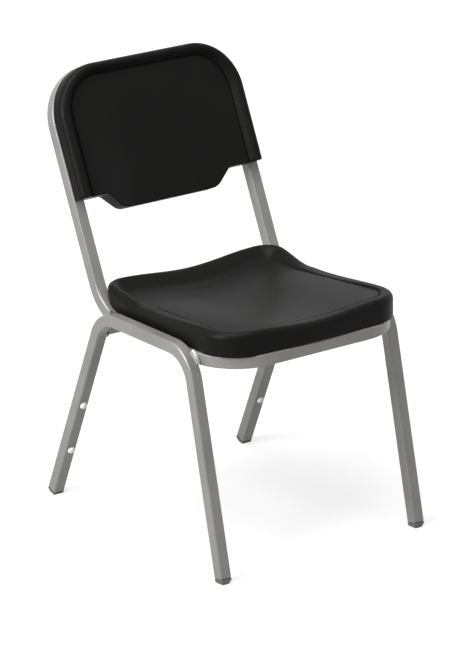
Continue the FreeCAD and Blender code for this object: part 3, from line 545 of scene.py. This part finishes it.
def mottle(nodes, links, shader, where, low, high):
    """Slow, slight change of tone over a surface."""
    noise = nodes.new("ShaderNodeTexNoise")
    noise.inputs["Scale"].default_value = 14.0
    noise.inputs["Detail"].default_value = 2.0
    ramp = nodes.new("ShaderNodeValToRGB")
    ramp.color_ramp.elements[0].position = 0.3
    ramp.color_ramp.elements[1].position = 0.7
    ramp.color_ramp.elements[0].color = (*low, 1.0)
    ramp.color_ramp.elements[1].color = (*high, 1.0)
    links.new(where.outputs["Object"], noise.inputs["Vector"])
    links.new(noise.outputs["Fac"], ramp.inputs["Fac"])
    links.new(ramp.outputs["Color"], shader.inputs["Base Color"])


def make_material(name, low, high, metal, rough, scale, strength, distance=0.0002, shine=0.5):
    """A finish between two tones; scale, strength and distance are its grain's, in metres."""
    material, nodes, links, shader = new_material(name)
    shader.inputs["Specular IOR Level"].default_value = shine
    shader.inputs["Metallic"].default_value = metal
    shader.inputs["Roughness"].default_value = rough
    where = nodes.new("ShaderNodeTexCoord")
    grain(nodes, links, shader, where, scale, strength, distance)
    mottle(nodes, links, shader, where, low, high)
    return material


PAINT = make_material(
    "frame_paint", (0.178, 0.174, 0.166), (0.208, 0.203, 0.194),
    metal=0.36, rough=0.32, scale=1400.0, strength=0.05,
)
BEAD = make_material(
    "weld_paint", (0.2, 0.2, 0.2), (0.25, 0.25, 0.25),
    metal=0.7, rough=0.3, scale=420.0, strength=0.5, distance=0.0006,
)
SHELL = make_material(
    "shell_plastic", (0.0038, 0.0038, 0.0036), (0.0048, 0.0048, 0.0045),
    metal=0.0, rough=0.41, scale=900.0, strength=0.12, shine=0.065,
)
# A darker, rougher black for the groove lines. It is painted shade where the grooves fall in shade, not
# a different plastic.
PAINTED_GROOVE_SHADE = make_material(
    "shell_painted_groove_shade", (0.0016, 0.0016, 0.0016), (0.002, 0.002, 0.002),
    metal=0.0, rough=0.8, scale=900.0, strength=0.05, shine=0.1,
)
GLIDE = make_material(
    "glide_plastic", (0.085, 0.085, 0.085), (0.1, 0.1, 0.1),
    metal=0.0, rough=0.5, scale=700.0, strength=0.08,
)
BUMPER = make_material(
    "bumper_plastic", (0.88, 0.88, 0.87), (0.92, 0.92, 0.91),
    metal=0.0, rough=0.35, scale=500.0, strength=0.03,
)
ZINC = make_material(
    "screw_steel", (0.4, 0.4, 0.41), (0.46, 0.46, 0.47),
    metal=1.0, rough=0.34, scale=900.0, strength=0.05,
)

# The material of each CAD node, by the start of its name.
FINISHES = {
    "leg_frame": PAINT,
    "seat_back_hoop": PAINT,
    "rear_cross_tube": PAINT,
    "hoop_weld": BEAD,
    "cross_weld": BEAD,
    "seat_shell": SHELL,
    "back_shell": SHELL,
    "glide": GLIDE,
    "stack_bumper": BUMPER,
    "seat_screw": ZINC,
    "back_screw": ZINC,
}


def paint(thing, *materials):
    if thing.data.materials:
        thing.data.materials.clear()
    for material in materials:
        thing.data.materials.append(material)


for node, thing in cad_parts.items():
    for start, material in FINISHES.items():
        if node.startswith(start):
            paint(thing, material)

seat = make_seat()
paint(seat, SHELL, PAINTED_GROOVE_SHADE)
take_away(seat, tube_room())
smooth_by_angle(seat, SHARP_ANGLE)
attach(seat, "root")
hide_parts("seat_shell")

back = make_back()
paint(back, SHELL, PAINTED_GROOVE_SHADE)
smooth_by_angle(back, SHARP_ANGLE)
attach(back, "root")
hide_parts("back_shell")


def seen_directly(nodes, links):
    """1 for what the camera sees, also by reflection or through glass, and 0 for light on the chair."""
    path = nodes.new("ShaderNodeLightPath")
    total = path.outputs["Is Camera Ray"]
    for kind in ("Is Glossy Ray", "Is Transmission Ray"):
        add = nodes.new("ShaderNodeMath")
        add.operation = "ADD"
        add.use_clamp = True
        links.new(total, add.inputs[0])
        links.new(path.outputs[kind], add.inputs[1])
        total = add.outputs[0]
    return total


def make_floor():
    """A floor that looks white, a little less so near the chair, where it shows the shadow."""
    bpy.ops.mesh.primitive_plane_add(size=60.0, location=(0.0, 0.0, 0.0))
    floor = bpy.context.object
    floor.name = "floor"
    material, nodes, links, shader = new_material("floor_white")
    shader.inputs["Base Color"].default_value = (0.42, 0.42, 0.42, 1.0)
    shader.inputs["Emission Color"].default_value = (1.0, 1.0, 1.0, 1.0)
    shader.inputs["Roughness"].default_value = 0.9
    shader.inputs["Specular IOR Level"].default_value = 0.1
    where = nodes.new("ShaderNodeTexCoord")
    length = nodes.new("ShaderNodeVectorMath")
    length.operation = "LENGTH"
    glow = nodes.new("ShaderNodeMapRange")
    glow.inputs["From Min"].default_value = 0.8
    glow.inputs["From Max"].default_value = 3.0
    glow.inputs["To Min"].default_value = 0.63
    glow.inputs["To Max"].default_value = 0.96
    links.new(where.outputs["Object"], length.inputs[0])
    links.new(length.outputs["Value"], glow.inputs["Value"])
    links.new(glow.outputs["Result"], shader.inputs["Emission Strength"])
    plain = nodes.new("ShaderNodeBsdfDiffuse")
    plain.inputs["Color"].default_value = (0.45, 0.45, 0.45, 1.0)
    choice = nodes.new("ShaderNodeMixShader")
    links.new(seen_directly(nodes, links), choice.inputs["Fac"])
    links.new(plain.outputs["BSDF"], choice.inputs[1])
    links.new(shader.outputs["BSDF"], choice.inputs[2])
    links.new(choice.outputs["Shader"], nodes["Material Output"].inputs["Surface"])
    paint(floor, material)
    return floor


def area_light(name, place, target_height, side, power):
    """A square lamp that points at the chair's middle line."""
    data = bpy.data.lights.new(name, "AREA")
    data.shape = "RECTANGLE"
    data.size = side
    data.size_y = side
    data.energy = power
    lamp = bpy.data.objects.new(name, data)
    lamp.location = place
    aim = Vector((0.0, 0.0, target_height)) - Vector(place)
    lamp.rotation_mode = "QUATERNION"
    lamp.rotation_quaternion = aim.to_track_quat("-Z", "Y")
    bpy.context.scene.collection.objects.link(lamp)
    return lamp


def background(nodes, strength):
    node = nodes.new("ShaderNodeBackground")
    node.inputs["Color"].default_value = (1.0, 1.0, 1.0, 1.0)
    node.inputs["Strength"].default_value = strength
    return node


def make_world():
    """White where it is seen, and dim where it only adds light."""
    world = bpy.data.worlds.new("studio")
    bpy.context.scene.world = world
    world.use_nodes = True
    nodes = world.node_tree.nodes
    links = world.node_tree.links
    nodes.clear()
    output = nodes.new("ShaderNodeOutputWorld")
    mix = nodes.new("ShaderNodeMixShader")
    links.new(seen_directly(nodes, links), mix.inputs["Fac"])
    links.new(background(nodes, 0.12).outputs["Background"], mix.inputs[1])
    links.new(background(nodes, 1.0).outputs["Background"], mix.inputs[2])
    links.new(mix.outputs["Shader"], output.inputs["Surface"])


def make_camera():
    """The camera at the photograph's place; its focal length is 3931 pixels at 659 pixels' height."""
    data = bpy.data.cameras.new("camera")
    data.sensor_width = 36.0
    data.lens = 3931.0 / 659.0 * 36.0
    data.clip_start = 0.1
    data.clip_end = 100.0
    camera = bpy.data.objects.new("camera", data)
    camera.location = (-3.918, -5.3146, 2.720)
    aim = Vector((-0.00096, -0.0116, 0.3414))
    camera.rotation_mode = "QUATERNION"
    camera.rotation_quaternion = (aim - camera.location).to_track_quat("-Z", "Y")
    bpy.context.scene.collection.objects.link(camera)
    bpy.context.scene.camera = camera


lamps = [
    area_light("key", (-3.0, -0.3, 2.3), target_height=0.45, side=2.0, power=165.0),
    area_light("top", (-0.5, -0.2, 3.2), target_height=0.4, side=2.4, power=110.0),
    area_light("side", (3.4, -2.2, 1.1), target_height=0.4, side=1.4, power=9.0),
]
make_floor()
make_world()
make_camera()
bpy.context.scene.view_settings.view_transform = "Standard"
